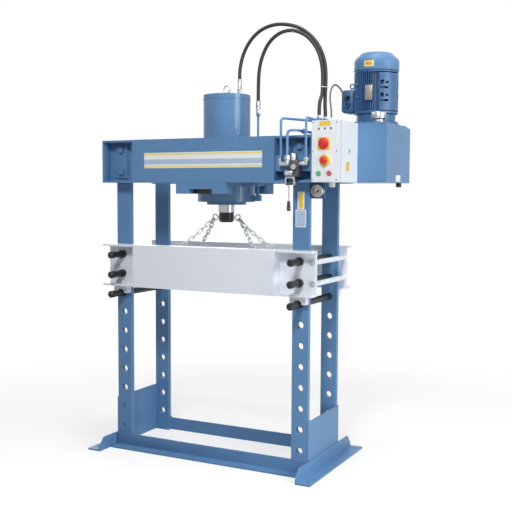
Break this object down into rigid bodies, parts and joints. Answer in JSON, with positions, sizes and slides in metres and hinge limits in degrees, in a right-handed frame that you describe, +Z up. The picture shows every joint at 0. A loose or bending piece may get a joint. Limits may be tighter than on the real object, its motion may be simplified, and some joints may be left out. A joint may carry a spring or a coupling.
{
  "type": "hydraulic workshop press",
  "caption": "Floor-standing H-frame hydraulic press with raised cylinder, pinned height-adjustable table, lifting chains and a motor pump unit with control box on the crown.",
  "frame": {"origin": "on the floor under the ram axis, at the centre of the anchor holes", "axes": "+X to the right along the table, +Y to the rear, +Z up along the ram"},
  "size_m": [1.778, 0.824, 2.5855],
  "materials": {
    "frame_blue": "satin",
    "table_white": "satin",
    "cabinet_white": "satin",
    "black_steel": "satin",
    "ground_steel": "ground",
    "zinc_steel": "zinc plated",
    "rubber": "matte",
    "cable_grey": "matte",
    "yellow_plastic": "gloss",
    "red_plastic": "gloss",
    "green_plastic": "gloss",
    "black_plastic": "matte",
    "glass": "clear"
  },
  "bodies": {
    "frame": {"columns_left": "frame_blue", "columns_right": "frame_blue", "side_gussets": "frame_blue", "base_frame": "frame_blue", "crown_beam_front": "frame_blue", "crown_beam_rear": "frame_blue", "crown_plates": "frame_blue", "head_block": "frame_blue", "frame_bolts": "zinc_steel", "cylinder_barrel": "frame_blue", "cylinder_cap": "frame_blue", "gland_ring": "frame_blue", "rod_seal": "rubber", "lifting_eye": "zinc_steel", "table_beam_front": "table_white", "table_beam_rear": "table_white", "table_plates": "table_white", "table_spacers": "table_white", "saddle_blocks": "table_white", "lifting_chains": "zinc_steel", "tank": "frame_blue", "tank_lid": "frame_blue", "motor_housing": "frame_blue", "motor_cowl": "frame_blue", "terminal_box": "frame_blue", "bell_housing": "frame_blue", "pump": "ground_steel", "drain_plug": "black_steel", "control_cabinet": "cabinet_white", "cabinet_panel": "cabinet_white", "panel_fittings": "yellow_plastic", "valve_body": "zinc_steel", "gauge_case": "black_steel", "gauge_lens": "glass", "pipes": "frame_blue", "hydraulic_fittings": "zinc_steel", "hose_a": "rubber", "hose_b": "rubber", "motor_cable": "cable_grey"},
    "ram": {"piston": "ground_steel", "piston_seal": "rubber", "piston_rod": "ground_steel", "ram_nose": "black_steel", "ram_shackles": "zinc_steel"},
    "rotor": {"motor_rotor": "ground_steel", "pump_coupling": "ground_steel"},
    "filler": {"filler_cap": "zinc_steel"},
    "isolator": {"main_switch": "red_plastic"},
    "estop": {"estop_button": "red_plastic"},
    "start": {"start_button": "green_plastic"},
    "stop": {"stop_button": "red_plastic"},
    "lever": {"valve_lever": "black_steel"},
    "spool": {"valve_spool": "ground_steel"},
    "needle": {"gauge_needle": "black_plastic"},
    "pin_left_upper": {"pin_left_upper": "black_steel"},
    "pin_left_middle": {"pin_left_middle": "black_steel"},
    "pin_left_lower": {"pin_left_lower": "black_steel"},
    "pin_right_upper": {"pin_right_upper": "black_steel"},
    "pin_right_middle": {"pin_right_middle": "black_steel"},
    "pin_right_lower": {"pin_right_lower": "black_steel"}
  },
  "joints": [
    {"name": "ram_slide", "type": "slide", "parent": "frame", "child": "ram", "axis": [0, 0, -1], "range_m": [0, 0.25], "deforming": ["lifting_chains"]},
    {"name": "pin_left_upper_slide", "type": "slide", "parent": "frame", "child": "pin_left_upper", "axis": [0, -1, 0], "range_m": [0, 0.48]},
    {"name": "pin_left_middle_slide", "type": "slide", "parent": "frame", "child": "pin_left_middle", "axis": [0, -1, 0], "range_m": [0, 0.48]},
    {"name": "pin_left_lower_slide", "type": "slide", "parent": "frame", "child": "pin_left_lower", "axis": [0, -1, 0], "range_m": [0, 0.44]},
    {"name": "pin_right_upper_slide", "type": "slide", "parent": "frame", "child": "pin_right_upper", "axis": [0, -1, 0], "range_m": [0, 0.48]},
    {"name": "pin_right_middle_slide", "type": "slide", "parent": "frame", "child": "pin_right_middle", "axis": [0, -1, 0], "range_m": [0, 0.48]},
    {"name": "pin_right_lower_slide", "type": "slide", "parent": "frame", "child": "pin_right_lower", "axis": [0, -1, 0], "range_m": [0, 0.44]},
    {"name": "motor_spin", "type": "hinge", "parent": "frame", "child": "rotor", "pos_m": [0.889, 0.171, 2.1], "axis": [0, 0, 1], "continuous": true},
    {"name": "filler_turn", "type": "hinge", "parent": "frame", "child": "filler", "pos_m": [0.963, 0.012, 2], "axis": [0, 0, 1], "range_deg": [0, 90]},
    {"name": "isolator_turn", "type": "hinge", "parent": "frame", "child": "isolator", "pos_m": [0.769, -0.32, 1.858], "axis": [0, 1, 0], "range_deg": [0, 90]},
    {"name": "estop_push", "type": "slide", "parent": "frame", "child": "estop", "axis": [0, 1, 0], "range_m": [0, 0.005]},
    {"name": "start_push", "type": "slide", "parent": "frame", "child": "start", "axis": [0, 1, 0], "range_m": [0, 0.003], "stiffness_N_per_m": 800},
    {"name": "stop_push", "type": "slide", "parent": "frame", "child": "stop", "axis": [0, 1, 0], "range_m": [0, 0.003], "stiffness_N_per_m": 800},
    {"name": "lever_swing", "type": "hinge", "parent": "frame", "child": "lever", "pos_m": [0.584, -0.331, 1.646], "axis": [1, 0, 0], "range_deg": [-20, 20], "stiffness_Nm_per_rad": 6},
    {"name": "spool_slide", "type": "slide", "parent": "frame", "child": "spool", "axis": [0, 0, 1], "range_m": [-0.006, 0.006]},
    {"name": "needle_turn", "type": "hinge", "parent": "frame", "child": "needle", "pos_m": [0.698, -0.22, 1.604], "axis": [0, 1, 0], "range_deg": [0, 270]}
  ],
  "couplings": [
    {"joint": "spool_slide", "follows": "lever_swing", "m_per_rad": 0.017}
  ]
}
